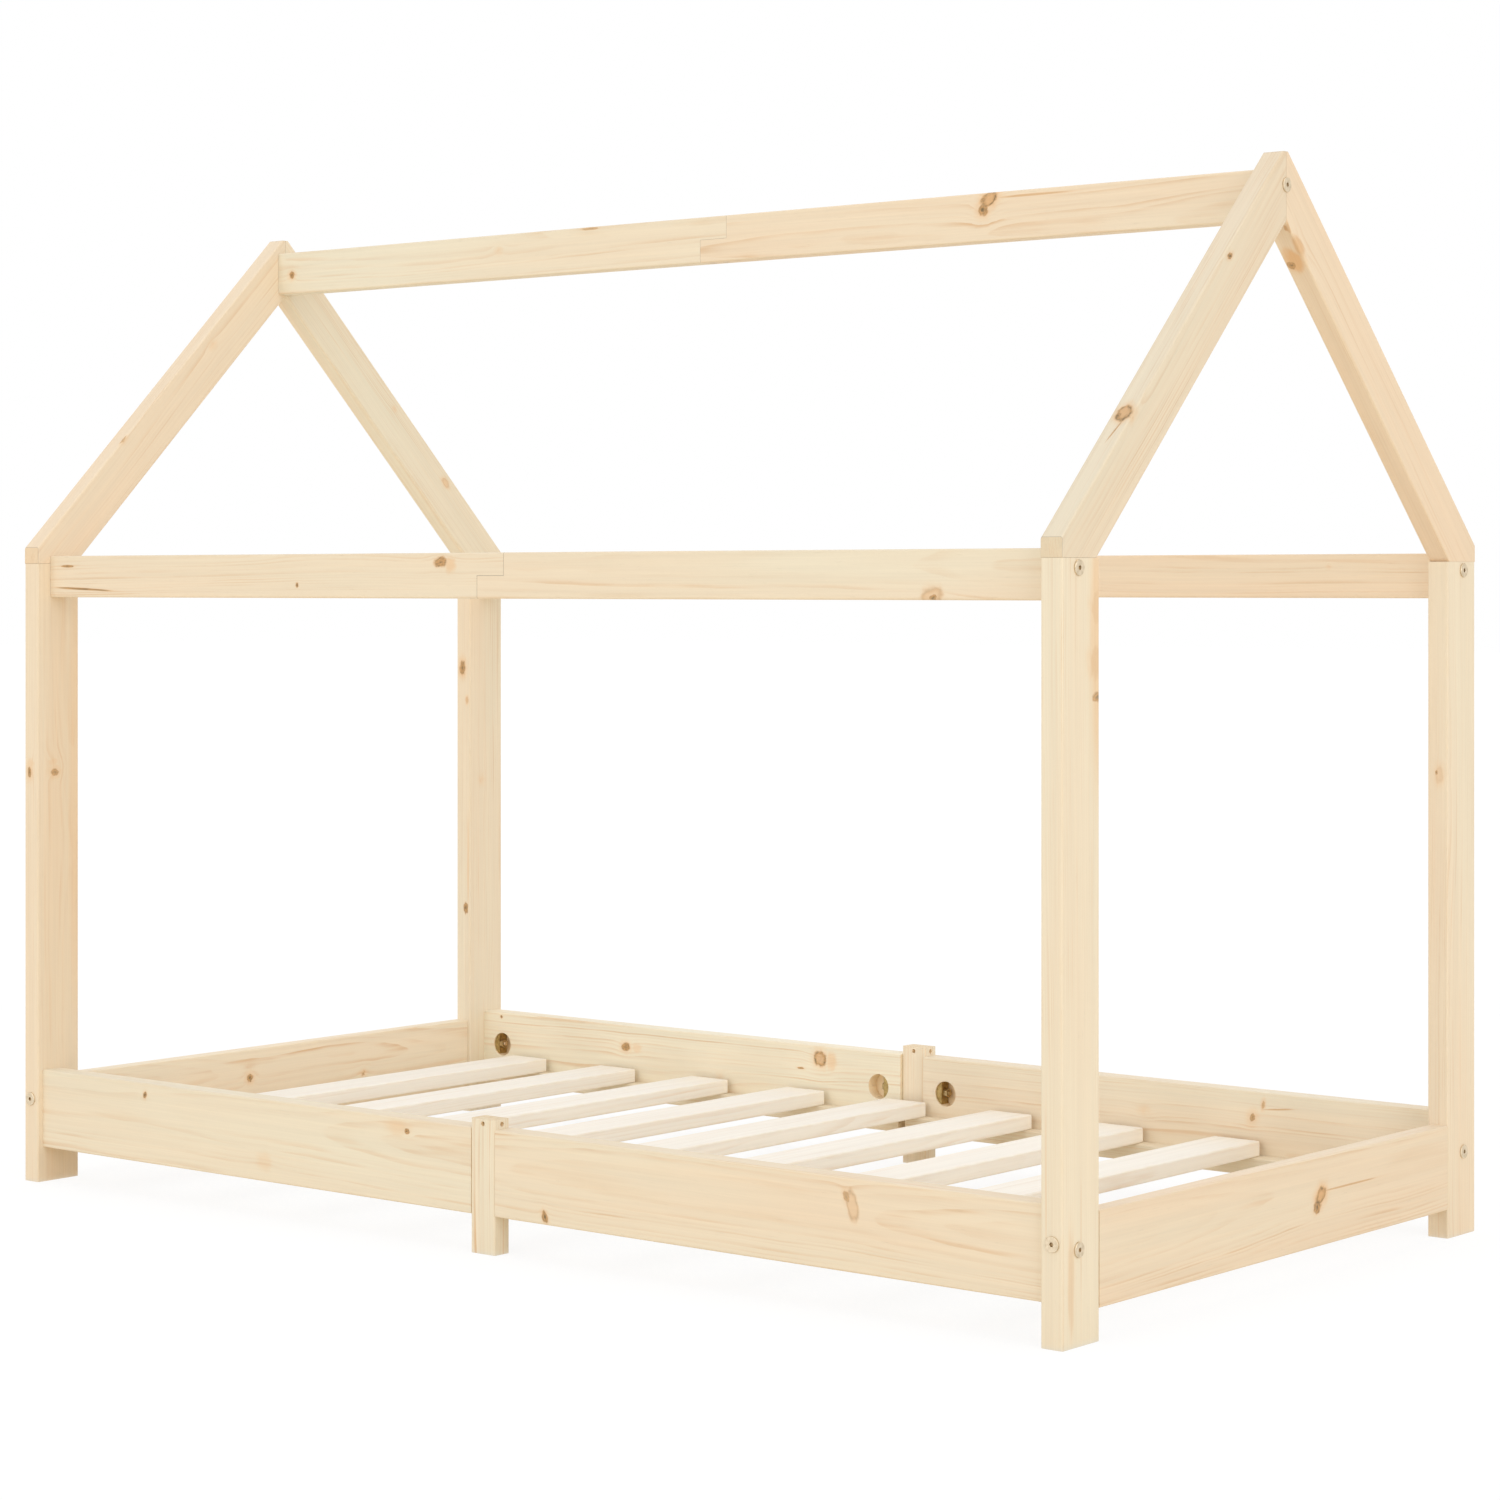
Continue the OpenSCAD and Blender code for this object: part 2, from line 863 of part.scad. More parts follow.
centre_leg(FAR);  // far_centre_leg
batten(LEFT, NEAR);  // near_left_batten
batten(RIGHT, NEAR);  // near_right_batten
batten(LEFT, FAR);  // far_left_batten
batten(RIGHT, FAR);  // far_right_batten
slat(0);  // slat_1
slat(1);  // slat_2
slat(2);  // slat_3
slat(3);  // slat_4
slat(4);  // slat_5
slat(5);  // slat_6
slat(6);  // slat_7
slat(7);  // slat_8
slat(8);  // slat_9
rail_bolts();
side_board_bolts();
end_board_bolts();
ridge_bolts();
leg_rods();
half_moon_washers();
hex_nuts();
rail_inserts();
end_board_inserts();
ridge_inserts();
rafter_foot_dowels();
apex_dowels();
ridge_dowels();
rail_dowels();
side_board_dowels();
end_board_dowels();
leg_dowels();
lap_screws();
batten_screws();
slat_screws();
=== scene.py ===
"""Kids bed frame in pale pine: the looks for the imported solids.

Every board is shown as a copy of its solid with its sharp edges eased, in a pine material whose
grain runs with the board. Knots lie where the photograph has them.
Lengths are in metres unless a name or comment says otherwise.
"""

import json
import math

import bmesh
import bpy
from mathutils import Euler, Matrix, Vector

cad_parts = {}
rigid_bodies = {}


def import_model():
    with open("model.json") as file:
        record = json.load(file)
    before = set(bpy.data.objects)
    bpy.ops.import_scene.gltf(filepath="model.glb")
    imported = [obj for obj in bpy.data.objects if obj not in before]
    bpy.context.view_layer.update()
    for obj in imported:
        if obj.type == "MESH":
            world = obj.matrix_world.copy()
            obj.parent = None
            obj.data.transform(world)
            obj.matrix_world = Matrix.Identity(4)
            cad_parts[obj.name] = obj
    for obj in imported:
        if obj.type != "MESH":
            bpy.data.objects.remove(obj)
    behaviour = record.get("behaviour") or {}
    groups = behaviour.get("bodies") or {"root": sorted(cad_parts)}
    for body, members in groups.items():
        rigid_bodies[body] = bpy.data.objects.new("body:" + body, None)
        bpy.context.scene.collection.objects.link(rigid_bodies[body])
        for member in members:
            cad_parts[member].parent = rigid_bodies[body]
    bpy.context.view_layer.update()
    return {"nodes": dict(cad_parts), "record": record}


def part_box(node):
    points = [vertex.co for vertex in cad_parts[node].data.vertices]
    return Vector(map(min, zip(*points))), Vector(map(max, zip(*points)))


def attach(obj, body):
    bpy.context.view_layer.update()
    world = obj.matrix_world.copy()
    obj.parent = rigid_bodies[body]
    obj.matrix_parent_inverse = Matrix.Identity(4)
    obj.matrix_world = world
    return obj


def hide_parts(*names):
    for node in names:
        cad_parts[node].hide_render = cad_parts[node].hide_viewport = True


for default in list(bpy.data.objects):
    bpy.data.objects.remove(default)

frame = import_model()
scene = bpy.context.scene

MM_PER_M = 1000


def srgb(red, green, blue):
    """A colour as a picture shows it, 0 to 255, as the linear colour that a shader takes."""
    def linear(value):
        value /= 255
        return value / 12.92 if value <= 0.04045 else ((value + 0.055) / 1.055) ** 2.4
    return (linear(red), linear(green), linear(blue), 1.0)


# The camera, at the photograph's place. It looks level, and its shift frames the bed.

CAMERA_PLACE = (2.5530, -3.0489, 0.6929)
CAMERA_TURN = math.radians(39.46)
CAMERA_LENS_MM = 85.27
SENSOR_MM = 36
CAMERA_SHIFT = -0.1098

camera_data = bpy.data.cameras.new("camera")
camera_data.lens = CAMERA_LENS_MM
camera_data.sensor_width = SENSOR_MM
camera_data.shift_y = CAMERA_SHIFT
camera = bpy.data.objects.new("camera", camera_data)
camera.location = CAMERA_PLACE
camera.rotation_euler = (math.radians(90), 0, CAMERA_TURN)
scene.collection.objects.link(camera)
scene.camera = camera
scene.view_settings.view_transform = "Standard"


# Node graphs

SOCKETS = {"value": "NodeSocketFloat", "vector": "NodeSocketVector", "colour": "NodeSocketColor"}


class Graph:
    """Short calls that add shader nodes. A value is a number, a tuple or another node's output."""

    def __init__(self, tree):
        self.tree = tree

    def put(self, value, socket):
        if isinstance(value, bpy.types.NodeSocket):
            self.tree.links.new(value, socket)
        else:
            socket.default_value = value

    def node(self, kind, inputs=None, **settings):
        made = self.tree.nodes.new(kind)
        for name, value in settings.items():
            setattr(made, name, value)
        for key, value in (inputs or {}).items():
            self.put(value, made.inputs[key])
        return made

    def math(self, operation, *values, clamp=False):
        made = self.node("ShaderNodeMath", dict(enumerate(values)), operation=operation, use_clamp=clamp)
        return made.outputs[0]

    def times(self, value, *factors):
        for factor in factors:
            value = self.math("MULTIPLY", value, factor)
        return value

    def plus(self, value, *parts, clamp=False):
        """The value with each part's share added. A part is (what, share)."""
        for what, share in parts:
            value = self.math("MULTIPLY_ADD", what, share, value, clamp=clamp)
        return value

    def vector(self, operation, *values):
        made = self.node("ShaderNodeVectorMath", dict(enumerate(values)), operation=operation)
        return made.outputs["Value" if operation == "LENGTH" else "Vector"]

    def scale(self, vector, factor):
        made = self.node("ShaderNodeVectorMath", {0: vector, "Scale": factor}, operation="SCALE")
        return made.outputs["Vector"]

    def local(self, vector, middle, turn, size=(1, 1, 1)):
        """The vector as seen from a middle, along axes of that turn, in units of that size."""
        inputs = {"Vector": vector, "Location": middle, "Rotation": turn, "Scale": size}
        return self.node("ShaderNodeMapping", inputs, vector_type="TEXTURE").outputs[0]

    def span(self, value, low, high, start=0.0, end=1.0):
        """Eases from start to end while value goes from low to high."""
        inputs = {"Value": value, "From Min": low, "From Max": high, "To Min": start, "To Max": end}
        return self.node("ShaderNodeMapRange", inputs, interpolation_type="SMOOTHSTEP").outputs[0]

    def noise(self, vector, scale, detail=2.0, roughness=0.5):
        """Noise about zero, mostly between -1 and 1. scale is in cycles per unit, one or three."""
        if isinstance(scale, tuple):
            vector, scale = self.vector("MULTIPLY", vector, scale), 1.0
        inputs = {"Vector": vector, "Scale": scale, "Detail": detail, "Roughness": roughness}
        raw = self.node("ShaderNodeTexNoise", inputs).outputs[0]
        return self.plus(-2.0, (raw, 4.0))

    def mix(self, share, first, second, blend="MIX"):
        """A share of second over first. The node's colour sockets can only be told by number."""
        made = self.node("ShaderNodeMix", data_type="RGBA", blend_type=blend)
        self.put(share, made.inputs[0])
        self.put(first, made.inputs[6])
        self.put(second, made.inputs[7])
        return made.outputs[2]

    def parts(self, vector):
        return self.node("ShaderNodeSeparateXYZ", {0: vector}).outputs

    def joined(self, **parts):
        made = self.node("ShaderNodeCombineXYZ")
        for name, value in parts.items():
            self.put(value, made.inputs[name.upper()])
        return made.outputs[0]

    def surface(self, colour, rough, height, strength, distance, own=None):
        """The material's result: one shader with bump. own has more of the shader's own inputs."""
        inputs = {"Height": height, "Strength": strength, "Distance": distance}
        bump = self.node("ShaderNodeBump", inputs).outputs[0]
        inputs = {"Base Color": colour, "Roughness": rough, "Normal": bump}
        shader = self.node("ShaderNodeBsdfPrincipled", {**inputs, **(own or {})})
        self.node("ShaderNodeOutputMaterial", {"Surface": shader.outputs[0]})


class Group:
    """A shared node group, with its graph, its inputs and a call that sets its results."""

    def __init__(self, name, inputs, outputs):
        self.tree = bpy.data.node_groups.new(name, "ShaderNodeTree")
        for label, kind in inputs.items():
            self.tree.interface.new_socket(label, in_out="INPUT", socket_type=SOCKETS[kind])
        for label, kind in outputs.items():
            self.tree.interface.new_socket(label, in_out="OUTPUT", socket_type=SOCKETS[kind])
        self.graph = Graph(self.tree)
        self.given = self.graph.node("NodeGroupInput").outputs
        self.result = self.graph.node("NodeGroupOutput").inputs

    def give(self, **results):
        for label, value in results.items():
            self.graph.put(value, self.result[label])

    def use(self, graph, inputs):
        made = graph.node("ShaderNodeGroup", node_tree=self.tree)
        for label, value in inputs.items():
            graph.put(value, made.inputs[label])
        return made.outputs


def new_material(name):
    material = bpy.data.materials.new(name)
    material.use_nodes = True
    material.node_tree.nodes.clear()
    return material, Graph(material.node_tree)


# Knots

# Where each part of a knot begins and is full, as a share of its half size
KNOT_WOOD_SPAN = (1.2, 0.72)
HOLLOW_SPAN = (0.8, 0.4)
HEART_SPAN = (0.6, 0.1)
RIM_PLACE = 0.84
RIM_NARROWNESS = 4.2
GLOW_END = 0.5
GLOW_FALL = 1.6
BEND_FALL = 0.2
# How far its outline wanders, and how dark its parts are
OUTLINE_WANDER = 0.24
KNOT_SHADE = 0.10
RIM_SHADE = 0.36
HOLLOW_RIM_SHADE = 0.35
RIM_BREAKS = 0.7
KNOT_RING_PITCH = 16.0
KNOT_RING_SHADE = 0.1
MOTTLE_SHADE = 0.36
# Cycles in a knot's half size, and steps that give each knot a pattern of its own
WANDER_CYCLES = 1.1
WANDER_STEP = 90.0
MOTTLE_CYCLES = 2.6
MOTTLE_STEP = 70.0
# How far a knot pushes the rings aside unless told, as a share of its smaller half size
PLAIN_BEND = 0.4


def knot_group():
    """One knot: how it bends the rings, where its own wood is, how dark that is, and its glow."""
    group = Group(
        "knot",
        {"Point": "vector", "Centre": "vector", "Turn": "vector", "Size": "vector", "Bend": "value",
         "Glow": "value", "Force": "value", "Tint": "value", "Heart": "value", "Hollow": "value"},
        {"Bend": "value", "Core": "value", "Dark": "value", "Glow": "value"},
    )
    graph, given = group.graph, group.given
    place = graph.local(given["Point"], given["Centre"], given["Turn"], given["Size"])

    def pattern(step, cycles, detail):
        own_place = graph.vector("ADD", place, graph.scale(given["Centre"], step))
        return graph.noise(own_place, cycles, detail)

    # far is the distance from the knot's middle: 1 at its outline.
    wander = pattern(WANDER_STEP, WANDER_CYCLES, detail=2.0)
    far = graph.plus(graph.vector("LENGTH", place), (wander, OUTLINE_WANDER))
    mottle = pattern(MOTTLE_STEP, MOTTLE_CYCLES, detail=3.0)
    hollow = graph.times(graph.span(far, *HOLLOW_SPAN), given["Hollow"])
    core = graph.times(graph.span(far, *KNOT_WOOD_SPAN), given["Force"], graph.math("SUBTRACT", 1.0, hollow))
    hill = graph.math("EXPONENT", graph.times(far, far, -BEND_FALL))
    from_rim = graph.times(graph.math("SUBTRACT", far, RIM_PLACE), RIM_NARROWNESS)
    rim = graph.math("EXPONENT", graph.times(from_rim, from_rim, -1.0))
    rim = graph.times(rim, graph.plus(1.0, (mottle, RIM_BREAKS)))
    dark = graph.plus(
        KNOT_SHADE,
        (rim, graph.plus(RIM_SHADE, (given["Hollow"], HOLLOW_RIM_SHADE))),
        (graph.span(far, *HEART_SPAN), given["Heart"]),
        (graph.math("SINE", graph.times(far, KNOT_RING_PITCH)), KNOT_RING_SHADE),
        (mottle, MOTTLE_SHADE),
    )
    glow = graph.math("POWER", graph.span(far, given["Glow"], GLOW_END), GLOW_FALL)
    group.give(
        Bend=graph.times(hill, given["Bend"]),
        Core=core,
        Dark=graph.math("MULTIPLY", dark, core, clamp=True),
        Glow=graph.times(glow, given["Tint"]),
    )
    return group


def knot(x, y, z, along, across, turn=0, deep=20, bend=None, glow=2.4, tint=0.5, force=1.0, heart=0.5,
         hollow=0.0):
    """A knot on a face at x, y, z in mm.

    along, across and deep are half its length along the grain, half its width and how deep it
    reaches, and bend how far it pushes the rings aside, all in mm. turn is in degrees, on the face.
    glow is how far the warm wood round it reaches, as a share of the knot's half size, and tint how
    strong that is. force is how far the knot's own wood covers the board, heart how dark its middle
    is, and hollow how far its middle is like the board."""
    if bend is None:
        bend = PLAIN_BEND * min(along, across)
    return {"place": (x, y, z), "half": (along, across, deep), "turn": turn, "bend": bend,
            "looks": {"Glow": glow, "Tint": tint, "Force": force, "Heart": heart, "Hollow": hollow}}


# Pine

YELLOW_PINE = srgb(237, 230, 208)
PINK_PINE = srgb(240, 216, 187)
PALE_PINE = srgb(252, 247, 238)
LATE_WOOD = srgb(216, 172, 122)
KNOT_WOOD = srgb(210, 164, 112)
KNOT_DARK = srgb(124, 106, 72)
KNOT_GLOW = srgb(234, 188, 134)
# Worn edges' colour: wear, and painted shade that dulls the eased edges' highlight.
WORN_AND_SHADED_EDGE = srgb(236, 215, 180)
# Lighter, warmer colour for faces inside the pockets: painted light.
POCKET_PAINTED_LIGHT = srgb(255, 229, 188)
END_TINT = srgb(252, 246, 236)

# Cycles per metre, along the grain and across it
SLOW_BEND = (2.4, 9.0, 9.0)
SMALL_BEND = (14.0, 60.0, 60.0)
RING_PATCHES = (3.0, 24.0, 24.0)
RING_DASHES = (9.0, 150.0, 150.0)
FINE_FIBRE = (8.0, 560.0, 560.0)
BROAD_FIBRE = (3.0, 120.0, 120.0)
DUCTS = (55.0, 1400.0, 1400.0)
TONE_PATCHES = (1.6, 15.0, 15.0)
SPECKLES = 1700.0
WEAR_AND_SHADE_PATCHES = 45.0

# Rings, and where in the year the dark late wood comes and goes
RINGS_PER_M = 430
SLOW_BEND_SIZE = 0.0030
SMALL_BEND_SIZE = 0.0003
UNEVEN_YEARS = 0.8
UNEVEN_CYCLES = 0.3
LATE_START = (0.3, 0.86)
LATE_END = (1.0, 0.92)
WEAKEST_YEAR = 0.15
YEAR_RANGE = 1.1

# From where to where in the noise something goes from none to full, or between the last two
RING_PATCH_SPAN = (-0.9, 0.9, 0.3, 1.2)
RING_DASH_SPAN = (-0.5, 0.8, 0.2, 1.5)
DUCT_SPAN = (0.8, 1.3)
WEAR_AND_SHADE_PATCH_SPAN = (-1.0, 0.9)

# The band along a long edge that is worn and darkened with painted shade, and where the surface counts as
# end grain
WEAR_AND_SHADE_SPAN = (0.0040, 0.0008)
END_SPAN = (0.55, 0.8)

# How much of each shows in the colour
RING_SHOW = 0.42
END_RING_SHOW = 0.4
TONE_SHOW = 0.28
FINE_SHOW = 0.025
BROAD_SHOW = 0.028
DUCT_SHOW = 0.09
GRIME_SHOW = 0.03
WEAR_AND_SHADE_SHOW = 0.3
POCKET_LIGHT_SHOW = 0.6

# Roughness, and what each adds to it
PLAIN_ROUGHNESS = 0.62
LATE_ROUGHNESS = -0.06
FINE_ROUGHNESS = 0.03
KNOT_ROUGHNESS = -0.14
END_ROUGHNESS = 0.14
WEAR_ROUGHNESS = -0.06

# Height of each in the bump
LATE_HEIGHT = 0.35
FINE_HEIGHT = 0.12
DUCT_HEIGHT = -0.4
KNOT_HEIGHT = 0.7
KNOT_DARK_HEIGHT = -1.6
SPECKLE_HEIGHT = 0.3


def pine_group():
    """Rings, fibre, tone, knots, worn edges and end grain on a board whose grain runs along x, with
    painted shade on its eased and worn edges and painted light in its pockets.
    """
    group = Group(
        "pine",
        {"Point": "vector", "Facing": "value", "Seed": "vector", "Pith": "vector", "Drift": "vector",
         "Half": "vector", "Bend": "value", "Core": "value", "Dark": "value", "Glow": "value",
         "Pink": "value", "Bright": "value", "Pale": "value", "Rings": "value", "Seam": "value",
         "Inside": "value"},
        {"Colour": "colour", "Roughness": "value", "Height": "value"},
    )
    graph, given = group.graph, group.given
    point = given["Point"]
    seeded = graph.vector("ADD", point, given["Seed"])

    # Rings: the distance from the middle of the tree, which drifts sideways along the board.
    drift = graph.scale(given["Drift"], graph.parts(point)[0])
    across = graph.vector("SUBTRACT", point, graph.vector("ADD", given["Pith"], drift))
    radius = graph.vector("LENGTH", graph.vector("MULTIPLY", across, (0.0, 1.0, 1.0)))
    radius = graph.plus(
        radius,
        (graph.noise(seeded, SLOW_BEND, detail=1.0), SLOW_BEND_SIZE),
        (graph.noise(seeded, SMALL_BEND), SMALL_BEND_SIZE),
        (given["Bend"], 1.0),
    )
    years = graph.times(radius, RINGS_PER_M)
    uneven = graph.noise(graph.joined(x=graph.times(years, UNEVEN_CYCLES)), 1.0, detail=1.0)
    years = graph.plus(years, (uneven, UNEVEN_YEARS))
    season = graph.math("FRACT", years)
    year = graph.joined(x=graph.math("FLOOR", years))
    year_strength = graph.node("ShaderNodeTexWhiteNoise", {"Vector": year}).outputs[0]
    late = graph.times(
        graph.span(season, *LATE_START),
        graph.span(season, *LATE_END),
        graph.plus(WEAKEST_YEAR, (year_strength, YEAR_RANGE)),
        graph.span(graph.noise(seeded, RING_PATCHES), *RING_PATCH_SPAN),
        graph.span(graph.noise(seeded, RING_DASHES), *RING_DASH_SPAN),
        given["Rings"],
    )

    # Fibre: long streaks, broad and fine, and short dark ducts between them.
    fine = graph.noise(seeded, FINE_FIBRE, detail=3.0, roughness=0.6)
    broad = graph.noise(seeded, BROAD_FIBRE)
    duct = graph.span(graph.noise(seeded, DUCTS, detail=1.0), *DUCT_SPAN)
    end = graph.span(graph.math("ABSOLUTE", given["Facing"]), *END_SPAN)
    end_speckle = graph.times(graph.noise(seeded, SPECKLES), end)

    # Wear: near the long edges, where sanding and hands have rubbed the board, and where its darker colour
    # is also painted shade that dulls the eased edges' highlight.
    room = graph.parts(graph.vector("SUBTRACT", given["Half"], graph.vector("ABSOLUTE", point)))
    wear_and_shade = graph.times(
        graph.span(graph.math("MAXIMUM", room[1], room[2]), *WEAR_AND_SHADE_SPAN),
        graph.span(graph.noise(seeded, WEAR_AND_SHADE_PATCHES, detail=3.0), *WEAR_AND_SHADE_PATCH_SPAN),
    )

    # Colour
    tone = graph.plus(given["Pink"], (graph.noise(seeded, TONE_PATCHES), TONE_SHOW), clamp=True)
    colour = graph.mix(tone, YELLOW_PINE, PINK_PINE)
    colour = graph.mix(given["Pale"], colour, PALE_PINE)
    colour = graph.mix(graph.times(late, RING_SHOW), colour, LATE_WOOD)
    colour = graph.mix(given["Glow"], colour, KNOT_GLOW)
    colour = graph.mix(given["Core"], colour, graph.mix(given["Dark"], KNOT_WOOD, KNOT_DARK))
    # Worn edges are darkened: wear, and painted shade that dulls the eased edges' highlight.
    colour = graph.mix(graph.times(wear_and_shade, WEAR_AND_SHADE_SHOW), colour, WORN_AND_SHADED_EDGE)
    end_colour = graph.mix(1.0, colour, END_TINT, "MULTIPLY")
    end_colour = graph.mix(graph.times(late, END_RING_SHOW), end_colour, LATE_WOOD)
    colour = graph.mix(end, colour, end_colour)
    # Faces inside the pockets are painted lighter and warmer: painted light that stands in for light
    # reaching into them.
    colour = graph.mix(graph.times(given["Inside"], POCKET_LIGHT_SHOW), colour, POCKET_PAINTED_LIGHT)
    light = graph.plus(
        1.0, (fine, FINE_SHOW), (broad, BROAD_SHOW), (duct, -DUCT_SHOW), (end_speckle, GRIME_SHOW)
    )
    # The eased edges are darkened here: painted shade that stands in for the shadow in the joints' grooves
    # and dulls the edges' highlight.
    light = graph.times(light, graph.math("SUBTRACT", 1.0, given["Seam"]), given["Bright"])

    group.give(
        Colour=graph.scale(colour, light),
        Roughness=graph.plus(
            PLAIN_ROUGHNESS,
            (late, LATE_ROUGHNESS),
            (fine, FINE_ROUGHNESS),
            (given["Core"], KNOT_ROUGHNESS),
            (end, END_ROUGHNESS),
            (wear_and_shade, WEAR_ROUGHNESS),
        ),
        Height=graph.plus(
            graph.times(late, LATE_HEIGHT),
            (fine, FINE_HEIGHT),
            (duct, DUCT_HEIGHT),
            (given["Core"], graph.plus(KNOT_HEIGHT, (given["Dark"], KNOT_DARK_HEIGHT))),
            (end_speckle, SPECKLE_HEIGHT),
        ),
    )
    return group


KNOT = knot_group()
PINE = pine_group()

# How the grain lies: the turn that takes x to the grain's direction.
GRAIN = {
    "x": Euler((0, 0, 0)),
    "y": Euler((0, 0, math.radians(90))),
    "z": Euler((0, math.radians(-90), 0)),
    "near_slope": Euler((0, math.radians(-45), math.radians(90))),
    "far_slope": Euler((0, math.radians(-45), math.radians(-90))),
}

RAFTER_HALF_LENGTH = 0.3
RAFTER_WIDE = 0.053
RAFTER_THICK = 0.024
# The outer slope face meets the post's outer face this far above the rafter's foot.
RAFTER_FOOT_RISE = 0.019

# Steps that give each board a stretch of wood of its own
SEED_STEPS = (1.37, 0.53, 0.91)


def rafter_middle(low, high):
    """A point on a rafter's middle line. The rafter leans at 45 degrees to the ridge at y = 0."""
    near = abs(low.y) > abs(high.y)
    outer_foot = max(abs(low.y), abs(high.y))
    top_face = low.z + RAFTER_FOOT_RISE + outer_foot
    middle_line = top_face - RAFTER_WIDE / 2 * math.sqrt(2)
    reach = outer_foot / 2
    return Vector(((low.x + high.x) / 2, -reach if near else reach, middle_line - reach))


def pine_material(node, grain, seed, pith, drift, pink=0.35, bright=1.0, pale=0.0, rings=1.0,
                  seam_shade=0.15, knots=()):
    """Pine for one board.

    seed picks its stretch of wood. pith is where the middle of the tree lies from the board's
    middle, in mm across the board, and drift how many mm it moves per metre. pink is its tone
    between the yellow pine and the pink, bright its lightness, pale how far it is the paler wood
    of the slats, and rings how much the rings show. The seam value darkens the eased edges:
    painted shade for the shadow in the joints' grooves, which also dulls the edges' highlight."""
    material, graph = new_material(node + "_pine")
    turn = GRAIN[grain]
    to_board = turn.to_matrix().transposed()
    low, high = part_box(node)
    if "slope" in grain:
        middle = rafter_middle(low, high)
        half = (RAFTER_HALF_LENGTH, RAFTER_THICK / 2, RAFTER_WIDE / 2)
    else:
        middle = (low + high) / 2
        half = tuple(abs(value) for value in to_board @ (high - low) / 2)
    where = graph.node("ShaderNodeTexCoord").outputs
    point = graph.local(where["Object"], middle, turn)
    facing = graph.local(where["Normal"], (0, 0, 0), turn)

    def marked(faces):
        return graph.node("ShaderNodeAttribute", attribute_name=faces).outputs["Fac"]

    sums = {"Bend": 0.0, "Core": 0.0, "Dark": 0.0, "Glow": 0.0}
    for number, mark in enumerate(knots):
        centre = to_board @ (Vector(mark["place"]) / MM_PER_M - middle)
        along, across, deep = (value / MM_PER_M for value in mark["half"])
        angle = math.radians(mark["turn"])
        # The knot goes into the face that it is nearest to.
        through_z = abs(abs(centre.z) - half[2]) < abs(abs(centre.y) - half[1])
        outputs = KNOT.use(graph, {
            "Point": point,
            "Centre": centre,
            "Turn": (0, 0, angle) if through_z else (0, angle, 0),
            "Size": (along, across, deep) if through_z else (along, deep, across),
            "Bend": mark["bend"] / MM_PER_M,
            **mark["looks"],
        })
        for label, total in sums.items():
            join = "ADD" if label == "Bend" else "MAXIMUM"
            sums[label] = graph.math(join, total, outputs[label]) if number else outputs[label]
    outputs = PINE.use(graph, {
        "Point": point,
        "Facing": graph.parts(facing)[0],
        "Seed": tuple(seed * step for step in SEED_STEPS),
        "Pith": (0, pith[0] / MM_PER_M, pith[1] / MM_PER_M),
        "Drift": (0, drift[0] / MM_PER_M, drift[1] / MM_PER_M),
        "Half": half,
        "Pink": pink,
        "Bright": bright,
        "Pale": pale,
        "Rings": rings,
        "Seam": graph.times(marked("eased"), seam_shade),
        "Inside": marked("inside"),
        **sums,
    })
    graph.surface(
        outputs["Colour"], outputs["Roughness"], outputs["Height"], strength=0.55, distance=0.0004,
        own={"Specular IOR Level": 0.35},
    )
    return material


# Boards: what pine_material is told about each. Knots on faces that the photograph doesn't show
# are made up.

